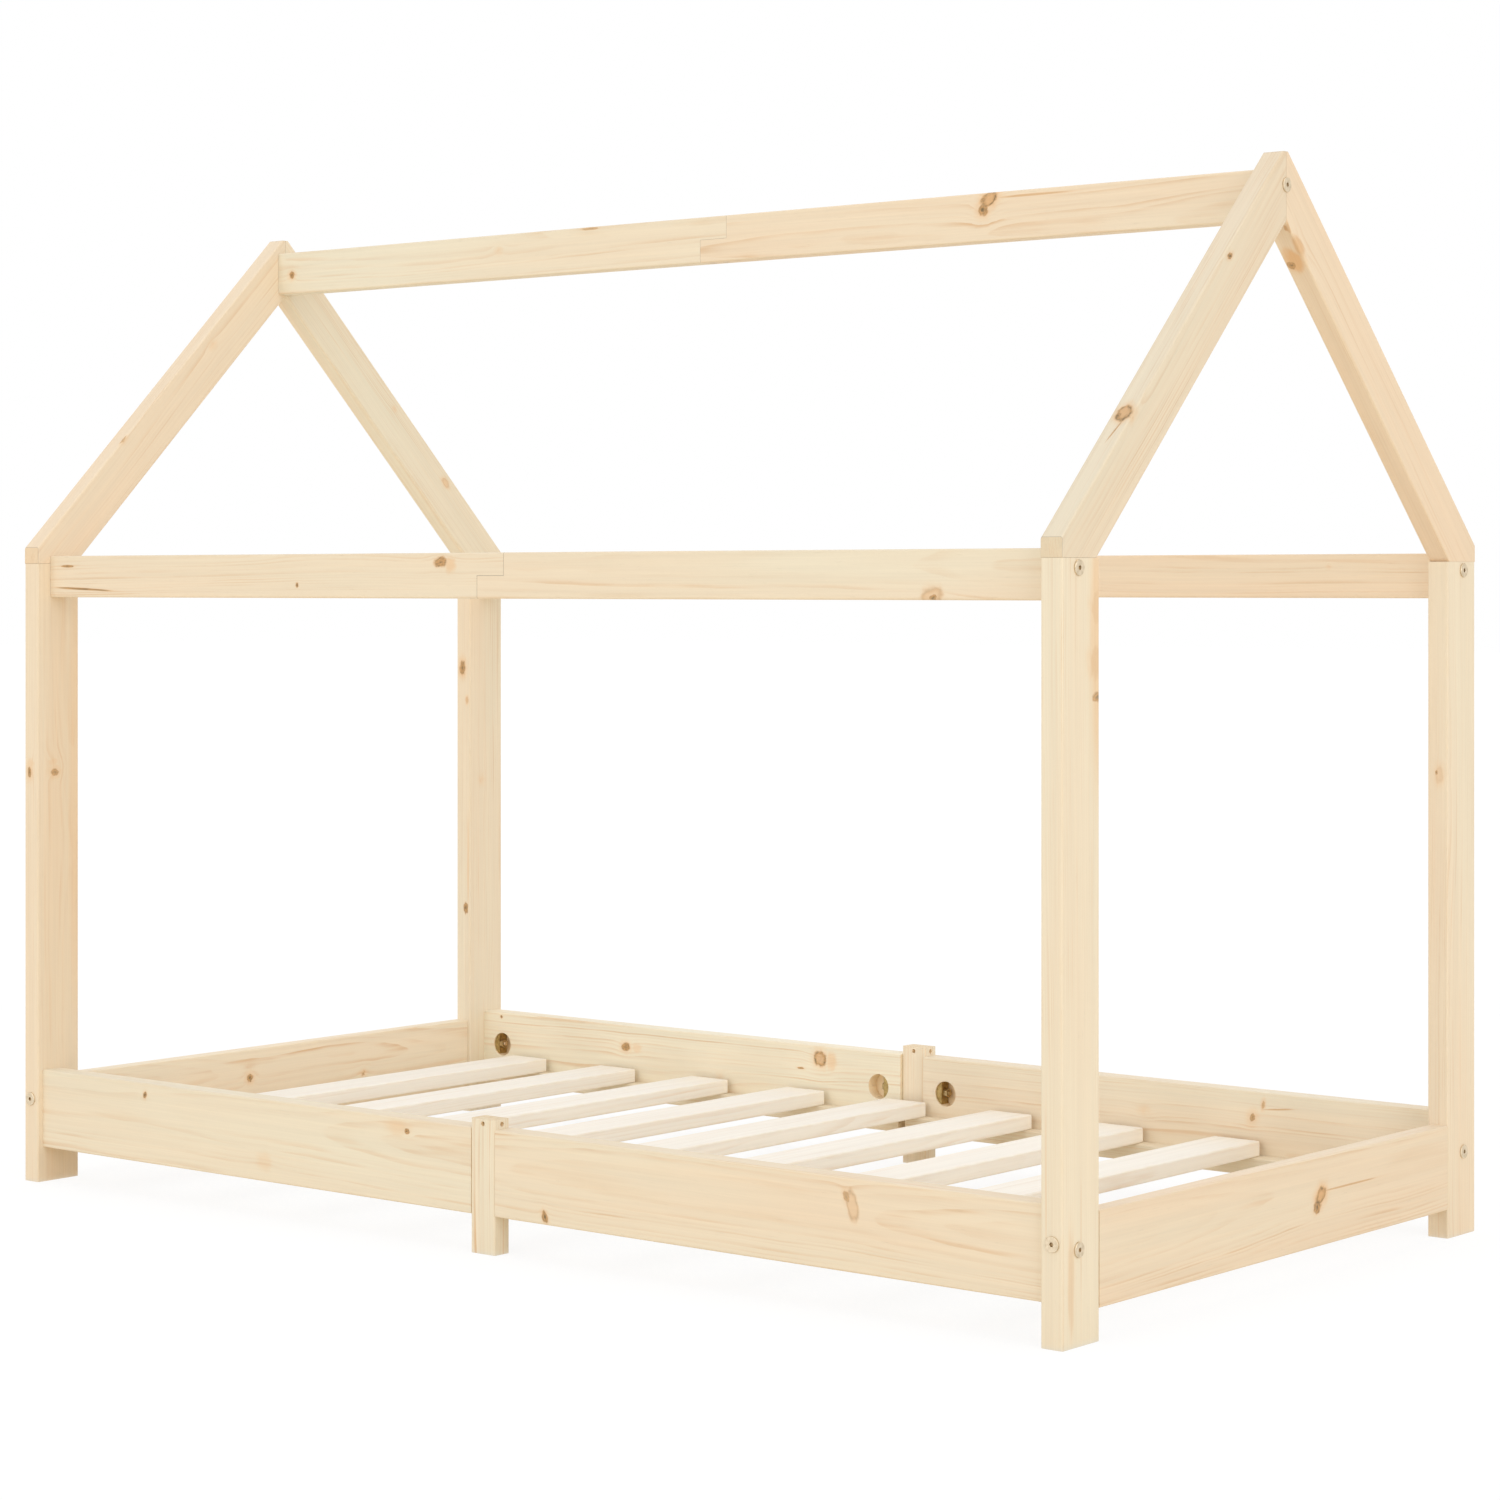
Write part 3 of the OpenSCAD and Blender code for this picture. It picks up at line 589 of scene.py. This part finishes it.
BOARDS = {
    "near_left_post": dict(
        grain="z", seed=1, pith=(20, 70), drift=(6, -3), pink=0.52, rings=0.5,
        knots=[
            knot(-706, -368, 487, 5, 8, deep=11, glow=1.7, tint=0.4, force=0),
            knot(-720, -390, 485, 6, 6, deep=8, glow=1.7, tint=0.35, force=0),
            knot(-721.5, -390, 475.7, 6, 3.4, glow=3.6, heart=0.8),
            knot(-706, -365.1, 475.2, 4.4, 5.4, glow=4.4, force=0.85, heart=0.8),
            knot(-706, -358, 300, 420, 30, deep=4, bend=0, glow=1.7, tint=0.22, force=0),
            knot(-706, -335, 420, 190, 7, deep=3, bend=0.5, glow=3.2, tint=0.42, force=0),
        ],
    ),
    "near_right_post": dict(
        grain="z", seed=2, pith=(-60, 30), drift=(-5, 4), pink=0.3, rings=0.45,
        knots=[
            knot(730, -336, 622, 16, 9, deep=2.8, bend=1, glow=2.6, force=0.25, heart=0.1),
            knot(730, -333.5, 672, 14, 9, deep=1.6, bend=0.6, glow=2.6, force=0.2, heart=0.1),
            knot(730, -334, 640, 90, 8, deep=2.4, bend=1, glow=2.6, force=0),
            knot(730, -333, 590.6, 5, 9, deep=4, bend=1.6, glow=1.6, force=0.85, heart=0.9),
            knot(730, -360, 95, 55, 0.6, deep=5, bend=0.3, glow=2, tint=0.2, force=0.25),
            knot(730, -376, 60, 45, 5, deep=0.6, bend=0.3, glow=2, tint=0.2, force=0.2),
            knot(712, -390, 160, 70, 0.6, deep=5, bend=0.3, glow=2, tint=0.2, force=0.15),
        ],
    ),
    "far_left_post": dict(
        grain="z", seed=3, pith=(35, -60), drift=(8, 5), pink=0.5, bright=1.02, rings=0.6,
        knots=[
            knot(-719.8, 330, 583.8, 9.5, 5, glow=2.8, tint=0.6, heart=0.6),
            knot(-711.6, 330, 541.7, 4.5, 2.6, force=0.4, heart=0.2),
            knot(-713.6, 330, 267.4, 8, 4, glow=1.5, heart=1.2),
            knot(-709.5, 330, 330, 60, 1.6, deep=6, bend=0.5, glow=1.7, tint=0.4, force=0),
            knot(-730, 352, 436, 8, 6, heart=0.8),
        ],
    ),
    "far_right_post": dict(
        grain="z", seed=4, pith=(-40, 45), drift=(-7, -5), pink=0.5, rings=0.6,
        knots=[
            knot(720, 330, 491.4, 9, 4.6, glow=2.6, tint=0.3, force=0.22, heart=0.1, hollow=0.4),
            knot(716.5, 330, 494, 2.6, 1.6, bend=0, glow=1.6, force=0.8, heart=0.9),
            knot(714, 390, 250, 6, 4.6, heart=0.8),
        ],
    ),
    "near_left_rafter": dict(
        grain="near_slope", seed=5, pith=(50, 40), drift=(10, 0), pink=0.75, rings=0.6, seam_shade=0.25,
        knots=[
            knot(-707.5, -261, 866, 6, 1.6, deep=4, bend=0.4, force=0.8, heart=0.6),
            knot(-730, -120, 986, 7, 5, turn=15),
        ],
    ),
    "near_right_rafter": dict(
        grain="near_slope", seed=6, pith=(-55, 30), drift=(-10, 4), pink=0.45, bright=0.93,
        rings=0.6, seam_shade=0.25,
        knots=[
            knot(730, -104.9, 1011, 5, 3, turn=20, heart=0.9),
            knot(719.5, -274, 853, 11, 8.6, turn=15, deep=7, glow=2.2, tint=0.75, heart=0.1,
                 hollow=0.5),
            knot(714.5, -276, 851, 3.6, 3, deep=5, bend=0, glow=1.5, heart=1.2),
            knot(720.5, -290, 837, 15, 1, turn=-10, deep=4, bend=0.3, glow=1.5, force=0.7),
        ],
    ),
    "far_left_rafter": dict(
        grain="far_slope", seed=7, pith=(30, 65), drift=(5, -6), pink=0.42, bright=1.02, rings=0.6,
        knots=[
            knot(-706, 284, 827, 8, 4.4, glow=2.2, force=0.35, heart=0.2, hollow=0.6),
            knot(-730, 190, 920, 5, 4),
        ],
    ),
    "far_right_rafter": dict(
        grain="far_slope", seed=8, pith=(-45, -35), drift=(9, 3), pink=0.8, bright=0.98, rings=0.6,
        seam_shade=0.25,
        knots=[
            knot(726, 5.5, 1046.6, 4, 2, deep=4, bend=0, glow=1.5, force=0.6, heart=0.7),
            knot(712.6, 39.2, 1012.9, 5, 4.6, glow=1.8, force=0.85, heart=0.7),
            knot(718, 35, 1017.1, 16, 11, deep=8, bend=1.2, glow=1.5, tint=0.8, force=0.12, heart=0.1),
            knot(730, 25, 1029, 14, 6.5, deep=5, glow=1.7, tint=0.6, force=0.3, heart=0.1),
            knot(730, 10, 1040, 17, 1.6, turn=-12, deep=4, bend=0.4, glow=1.6, force=0.5, heart=0),
        ],
    ),
    "ridge_beam_left": dict(
        grain="x", seed=9, pith=(45, 20), drift=(4, 6), seam_shade=0.5, pink=0.3, rings=0.8,
        knots=[
            knot(-681.7, -12, 1077, 4.5, 4.2, glow=3, heart=1.1),
            knot(-185, -12, 1103, 13, 1.6, deep=5, bend=0.5, glow=1.8, force=0.7, heart=0.6),
            knot(-330, 12, 1086, 6, 4.5),
        ],
    ),
    "ridge_beam_right": dict(
        grain="x", seed=10, pith=(-70, -18), drift=(8, -5), seam_shade=0.5, pink=0.55,
        knots=[
            knot(378.5, -12, 1098.5, 11, 7.4, turn=-30, tint=0.8, heart=0.2, hollow=0.5),
            knot(370, -12, 1087, 6.4, 6, glow=2.8, heart=1.1),
            knot(436, -12, 1099, 44, 1.2, deep=5, bend=0.4, glow=2, force=0.45),
        ],
    ),
    "near_left_top_rail": dict(
        grain="x", seed=11, pith=(-50, 30), drift=(-4, 5), seam_shade=0.5, pink=0.4, bright=0.99,
        rings=0.7,
        knots=[
            knot(-71.6, -372, 717, 9, 5.8, glow=1.8, heart=0.4),
            knot(-58, -372, 714, 8, 8, bend=0, glow=1.6, force=0),
            knot(-290.3, -372, 693.2, 2.4, 2.8, glow=2, heart=0.9),
            knot(-645, -372, 688.6, 47, 1.3, turn=2, deep=5, bend=0.6, glow=2),
            knot(-675, -372, 715, 11, 1.4, deep=5, bend=0.5, glow=2),
        ],
    ),
    "near_right_top_rail": dict(
        grain="x", seed=12, pith=(60, 10), drift=(-9, 5), seam_shade=0.5, pink=0.45, bright=0.985,
        knots=[
            knot(570, -372, 682, 12, 11, bend=1.2, glow=1.6, tint=0.4, force=0.5, heart=0.1,
                 hollow=0.6),
            knot(571.3, -372, 681, 4.2, 3.8, bend=0, glow=1.6, heart=1),
        ],
    ),
    "far_left_top_rail": dict(
        grain="x", seed=13, pith=(-45, -30), drift=(5, 5), seam_shade=0.5, pink=0.4,
        knots=[
            knot(-438, 372, 706, 6, 4.6, heart=0.7),
            knot(-206, 372, 689, 2.6, 2.4, heart=0.9),
        ],
    ),
    "far_right_top_rail": dict(
        grain="x", seed=14, pith=(45, 35), drift=(-6, 5), seam_shade=0.5, pink=0.85,
        knots=[
            knot(262, 372, 697, 8, 6.4, hollow=0.5),
            knot(575, 372, 713, 3, 2.4, heart=0.9),
        ],
    ),
    "near_left_side_board": dict(
        grain="x", seed=15, pith=(80, 16), drift=(-12, 4), pink=0.25, rings=0.85,
        knots=[
            knot(-527.3, -383, 116.8, 3, 4, turn=25, heart=1.2),
            knot(-331, -383, 62, 11, 9, bend=1, glow=1.8, tint=0.22, force=0),
            knot(-110.5, -383, 116.5, 3.8, 3.4, glow=1.8, heart=0.8),
            knot(-124, -383, 119, 9, 4, bend=0, glow=3.6, tint=0.35, force=0),
        ],
    ),
    "near_right_side_board": dict(
        grain="x", seed=16, pith=(-90, 12), drift=(10, 6), pink=0.45, rings=1.15,
        knots=[
            knot(87.5, -383, 48, 3.8, 6.4, turn=-25, heart=0.9),
            knot(477, -383, 112, 3.4, 6.2, turn=-20, bend=0.8, glow=2.6, tint=0.35, force=0.7,
                 heart=0.8),
            knot(484.5, -383, 103, 7.5, 15, turn=-14, bend=0.8, glow=1.5, tint=0.3, force=0.5, heart=0,
                 hollow=0.6),
        ],
    ),
    # This board is made lighter: painted light that offsets the shade that it stands in.
    "far_left_side_board": dict(
        grain="x", seed=17, pith=(70, -25), drift=(-6, 6), pink=0.15, bright=1.08,
        knots=[
            knot(-456, 357, 102.7, 7.4, 5.8, heart=0.3),
            knot(-674.7, 357, 124.5, 2.2, 2, heart=0.9),
            knot(-300, 383, 78, 6, 5),
            knot(-438, 357, 103, 7, 5, bend=0, glow=2, tint=0.35, force=0),
            knot(-139.9, 357, 114, 9, 9.5, heart=0.1, hollow=0.4),
            knot(-122, 357, 113, 7, 9, bend=0, glow=2, force=0),
            knot(-170, 357, 100.5, 5, 1.3, deep=6, bend=0.6),
        ],
    ),
    "far_right_side_board": dict(
        grain="x", seed=18, pith=(-70, -20), drift=(8, -6), pink=0.5,
        knots=[
            knot(473, 357, 101, 3.2, 4.4, turn=20, bend=1.2, glow=4.4, tint=0.4, force=0.85, heart=0.9),
            knot(330, 383, 96, 8, 6, hollow=0.5),
            knot(487, 357, 116.5, 2, 4.5, turn=10, bend=0.6, glow=3, force=0.6),
            knot(507, 357, 113, 20, 0.9, turn=-6, deep=5, bend=0.3, glow=1.6, force=0.5),
        ],
    ),
    "left_end_board": dict(
        grain="y", seed=19, pith=(75, 20), drift=(10, -5), pink=0.5, bright=1.06,
        knots=[
            knot(-711, -55, 84.7, 5, 5, glow=3, heart=0.8),
            knot(-729, 140, 70, 6, 4.6),
        ],
    ),
    "right_end_board": dict(
        grain="y", seed=20, pith=(-85, 15), drift=(-8, 5), pink=0.65, bright=0.98, rings=0.95,
        knots=[
            knot(730, 67, 80.5, 10, 7.4, turn=-40, bend=0.8, glow=2.6, tint=0.8, heart=0.1, hollow=0.5),
            knot(730, 60, 70.5, 8, 6.2, turn=-40, bend=0.4, glow=2, heart=0.9),
            knot(730, 126, 84.5, 52, 1, deep=6, bend=0.4, glow=1.8, force=0.5),
        ],
    ),
    "near_centre_leg": dict(grain="z", seed=21, pith=(40, 25), drift=(6, 4), pink=0.4),
    "far_centre_leg": dict(grain="z", seed=22, pith=(-35, 25), drift=(5, 5), bright=1.05),
    "near_left_batten": dict(grain="x", seed=23, pith=(40, 30), drift=(5, 4)),
    "near_right_batten": dict(grain="x", seed=24, pith=(-35, 25), drift=(5, 4)),
    "far_left_batten": dict(grain="x", seed=25, pith=(45, -30), drift=(5, 4)),
    "far_right_batten": dict(grain="x", seed=26, pith=(-40, -35), drift=(5, 4)),
}

# Slats come from either side of the tree by turns, each a little further out and lower than the last.
SLATS = 9
for number in range(1, SLATS + 1):
    side = 1 if number % 2 else -1
    BOARDS[f"slat_{number}"] = dict(
        grain="y", seed=40 + number, pith=(side * (38 + 5 * number), 26 - 3 * number), drift=(side * 7, 4),
        pale=0.88, bright=1.01, rings=0.55,
    )


# Metals and dowels

# Cycles per metre: the brushing, by the way that it runs, and the marks
ALONG_X = (300.0, 2500.0, 2500.0)
ALONG_Y = (2500.0, 300.0, 2500.0)
ALONG_Z = (2500.0, 2500.0, 300.0)
CLOUDS = 260.0
SPOTS = 900.0
FLECKS = 1600.0
STREAKS = 240.0

# From where to where in the noise a mark goes from none to full
TONE_SPAN = (-1.2, 1.2)
SPOT_SPAN = (0.7, 1.3)
FLECK_SPAN = (0.5, 1.1)

# How much of each shows in the colour, and what each adds to the roughness
BRUSH_SHOW = 0.4
SPOT_SHOW = 0.4
FLECK_SHOW = 0.5
BRUSH_ROUGHNESS = 0.05
SPOT_ROUGHNESS = 0.15
BEECH_ROUGHNESS = 0.6
STREAK_ROUGHNESS = 0.04

PALE_BEECH = srgb(222, 184, 140)
BEECH = srgb(202, 158, 112)
BEECH_FLECK = srgb(168, 118, 78)


def metal_material(name, colour, dull, rough, brush):
    """Plated or bare metal with fine brushing, duller patches and darker worn spots."""
    material, graph = new_material(name)
    place = graph.node("ShaderNodeTexCoord").outputs["Object"]
    lines = graph.noise(place, brush, detail=3.0, roughness=0.6)
    cloud = graph.noise(place, CLOUDS, detail=3.0)
    spot = graph.span(graph.noise(place, SPOTS), *SPOT_SPAN)
    tone = graph.span(graph.plus(cloud, (lines, BRUSH_SHOW)), *TONE_SPAN)
    base = graph.mix(tone, dull, colour)
    base = graph.mix(graph.times(spot, SPOT_SHOW), base, dull)
    roughness = graph.plus(rough, (lines, BRUSH_ROUGHNESS), (spot, SPOT_ROUGHNESS))
    graph.surface(base, roughness, lines, strength=0.25, distance=0.0001, own={"Metallic": 1.0})
    return material


def beech_material():
    """Plain beech dowel: fine flecks and faint streaks."""
    material, graph = new_material("dowel_beech")
    place = graph.node("ShaderNodeTexCoord").outputs["Object"]
    fleck = graph.span(graph.noise(place, FLECKS, detail=1.0), *FLECK_SPAN)
    streak = graph.noise(place, STREAKS, detail=3.0, roughness=0.6)
    colour = graph.mix(graph.span(streak, *TONE_SPAN), BEECH, PALE_BEECH)
    colour = graph.mix(graph.times(fleck, FLECK_SHOW), colour, BEECH_FLECK)
    roughness = graph.plus(BEECH_ROUGHNESS, (streak, STREAK_ROUGHNESS))
    graph.surface(colour, roughness, streak, strength=0.3, distance=0.0002)
    return material


# A darker, yellower copy of the zinc for the nuts and rods in the pockets: painted shade.
SHADED_NUT_STEEL = metal_material("nut_steel", srgb(204, 182, 138), srgb(160, 138, 96), 0.5, ALONG_Y)
NODE_FINISH = {"hex_nuts": SHADED_NUT_STEEL, "leg_rods": SHADED_NUT_STEEL}
SLOT_FINISH = {
    "zinc_steel": metal_material("zinc_steel", srgb(234, 217, 190), srgb(208, 190, 160), 0.44, ALONG_X),
    # The washers' yellow plating, made lighter: partly their own colour, partly painted light that offsets
    # the shade in the pockets.
    "dark_steel": metal_material("dark_steel", srgb(198, 173, 118), srgb(150, 127, 80), 0.55, ALONG_Y),
    "insert_brass": metal_material("insert_brass", srgb(206, 178, 116), srgb(164, 136, 84), 0.36, ALONG_Z),
    "dowel_beech": beech_material(),
}


# Pieces

SLOTS = {part["node"]: part["material_slot"] for part in frame["record"]["subparts"]}
HARDWARE = (
    "rail_bolts", "side_board_bolts", "end_board_bolts", "ridge_bolts", "half_moon_washers", "hex_nuts",
)
BOARD_EDGE = 0.0007
METAL_EDGE = 0.0003
WELD_DISTANCE = 2e-6
FLAT_ANGLE = math.radians(0.3)
SHARP_ANGLE = math.radians(40)
SHADING_ANGLE = math.radians(50)
# A face whose middle is further in than this from every side of the node's box was routed.
ROUTED_DEPTH = 0.001


def finish_of(node):
    """The material of a node that isn't a board: its own, or else its slot's."""
    return NODE_FINISH.get(node) or SLOT_FINISH[SLOTS[node]]


def dressed(node, edge, material, suffix):
    """A copy of a node's mesh with its sharp edges taken off by edge, which stands for the node."""
    shape = bmesh.new()
    shape.from_mesh(frame["nodes"][node].data)
    eased = shape.faces.layers.float.new("eased")
    inside = shape.faces.layers.float.new("inside")
    bmesh.ops.remove_doubles(shape, verts=shape.verts, dist=WELD_DISTANCE)
    bmesh.ops.dissolve_limit(
        shape, angle_limit=FLAT_ANGLE, verts=shape.verts, edges=shape.edges, delimit=set()
    )
    sharp = [e for e in shape.edges if len(e.link_faces) == 2 and e.calc_face_angle() > SHARP_ANGLE]
    made = bmesh.ops.bevel(
        shape, geom=sharp, offset=edge, offset_type="OFFSET", segments=2, profile=0.5,
        affect="EDGES", clamp_overlap=True, miter_outer="SHARP", miter_inner="SHARP",
    )
    for face in made["faces"]:
        face[eased] = 1.0
    # Faces inside the pockets are marked, and the pine paints painted light on them.
    # A rafter has no pockets, and its slope faces lie inside its box.
    if "rafter" not in node:
        low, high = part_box(node)
        for face in shape.faces:
            middle = face.calc_center_median()
            if all(low[i] + ROUTED_DEPTH < middle[i] < high[i] - ROUTED_DEPTH for i in range(3)):
                face[inside] = 1.0
    mesh = bpy.data.meshes.new(node + suffix)
    shape.to_mesh(mesh)
    shape.free()
    # The solid's own normals don't fit the eased edges.
    normals = mesh.attributes.get("custom_normal")
    if normals:
        mesh.attributes.remove(normals)
    mesh.materials.clear()
    mesh.materials.append(material)
    mesh.polygons.foreach_set("use_smooth", [True] * len(mesh.polygons))
    mesh.set_sharp_from_angle(angle=SHADING_ANGLE)
    piece = bpy.data.objects.new(node + suffix, mesh)
    scene.collection.objects.link(piece)
    shading = piece.modifiers.new("even shading", "WEIGHTED_NORMAL")
    shading.weight = 100
    shading.keep_sharp = True
    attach(piece, "root")
    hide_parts(node)


for node, looks in BOARDS.items():
    dressed(node, BOARD_EDGE, pine_material(node, **looks), "_board")

for node in HARDWARE:
    dressed(node, METAL_EDGE, finish_of(node), "_metal")

for node in SLOTS:
    if node not in BOARDS and node not in HARDWARE:
        materials = frame["nodes"][node].data.materials
        materials.clear()
        materials.append(finish_of(node))


# Floor, world and lamps

FLOOR_SIZE = 60.0
FLOOR_GAP = 0.0003
FLOOR_BOUNCE = (0.92, 0.83, 0.69, 1.0)
FLOOR_WHITE = 1.02
# How far the bed's shadow darkens the white floor, and where it has faded out
SHADOW_DEPTH = 0.15
SHADOW_SPAN = (1.1, 2.2)
# Light rays that start this close under a foot pass the floor, so a foot's end isn't black.
FOOT_RAY = FLOOR_GAP * 20


def white_for_camera(graph):
    """1 for rays that come from the camera, a mirror or glass, 0 for light on the object."""
    path = graph.node("ShaderNodeLightPath").outputs
    seen = graph.math("MAXIMUM", path["Is Camera Ray"], path["Is Glossy Ray"])
    return graph.math("MAXIMUM", seen, path["Is Transmission Ray"])


def floor_surface():
    """White as the camera sees it, with the bed's faint shadow, warm in the light that it throws
    back, and clear from below."""
    material, graph = new_material("floor")
    seen = white_for_camera(graph)
    geometry = graph.node("ShaderNodeNewGeometry").outputs
    away = graph.vector("LENGTH", graph.vector("MULTIPLY", geometry["Position"], (1.0, 1.0, 0.0)))
    fade = graph.span(away, *SHADOW_SPAN)
    base = graph.plus(SHADOW_DEPTH, (fade, -SHADOW_DEPTH))
    base = graph.mix(seen, FLOOR_BOUNCE, graph.joined(x=base, y=base, z=base))
    glow = graph.plus(FLOOR_WHITE - SHADOW_DEPTH, (fade, SHADOW_DEPTH))
    diffuse = graph.node("ShaderNodeBsdfDiffuse", {"Color": base}).outputs[0]
    shine = graph.node("ShaderNodeEmission", {"Strength": graph.times(glow, seen)}).outputs[0]
    lit = graph.node("ShaderNodeAddShader", {0: diffuse, 1: shine}).outputs[0]
    clear = graph.node("ShaderNodeBsdfTransparent").outputs[0]
    near_foot = graph.math("LESS_THAN", graph.node("ShaderNodeLightPath").outputs["Ray Length"], FOOT_RAY)
    hidden = graph.math("MAXIMUM", geometry["Backfacing"], near_foot)
    surface = graph.node("ShaderNodeMixShader", {0: hidden, 1: lit, 2: clear})
    graph.node("ShaderNodeOutputMaterial", {"Surface": surface.outputs[0]})
    return material


reach = FLOOR_SIZE / 2
corners = [(x * reach, y * reach, -FLOOR_GAP) for x, y in ((-1, -1), (1, -1), (1, 1), (-1, 1))]
floor_mesh = bpy.data.meshes.new("floor")
floor_mesh.from_pydata(corners, [], [(0, 1, 2, 3)])
floor_mesh.materials.append(floor_surface())
floor = bpy.data.objects.new("floor", floor_mesh)
scene.collection.objects.link(floor)

# The world is white to the camera and this strong as light.
WORLD_LIGHT = 0.70

world = bpy.data.worlds.new("studio")
scene.world = world
world.use_nodes = True
world.node_tree.nodes.clear()
graph = Graph(world.node_tree)
strength = graph.plus(WORLD_LIGHT, (white_for_camera(graph), 1.0 - WORLD_LIGHT))
background = graph.node("ShaderNodeBackground", {"Color": (1, 1, 1, 1), "Strength": strength})
graph.node("ShaderNodeOutputWorld", {"Surface": background.outputs[0]})

LAMP_SIZE = 6.0
LAMP_AIM = Vector((0, 0, 0.45))
# Each lamp's place and its power in watts
LAMPS = {
    "front": ((-2.0, -8.0, 3.2), 146),
    "right": ((8.0, -2.5, 3.2), 197),
    "top": ((0.0, 0.8, 7.4), 66),
    "back": ((-2.5, 8.0, 3.2), 70),
    "left": ((-8.0, 1.5, 3.2), 60),
}

for name, (place, watts) in LAMPS.items():
    light = bpy.data.lights.new(name, "AREA")
    light.shape = "SQUARE"
    light.size = LAMP_SIZE
    light.energy = watts
    lamp = bpy.data.objects.new(name, light)
    lamp.location = place
    lamp.rotation_euler = (LAMP_AIM - Vector(place)).to_track_quat("-Z", "Y").to_euler()
    scene.collection.objects.link(lamp)
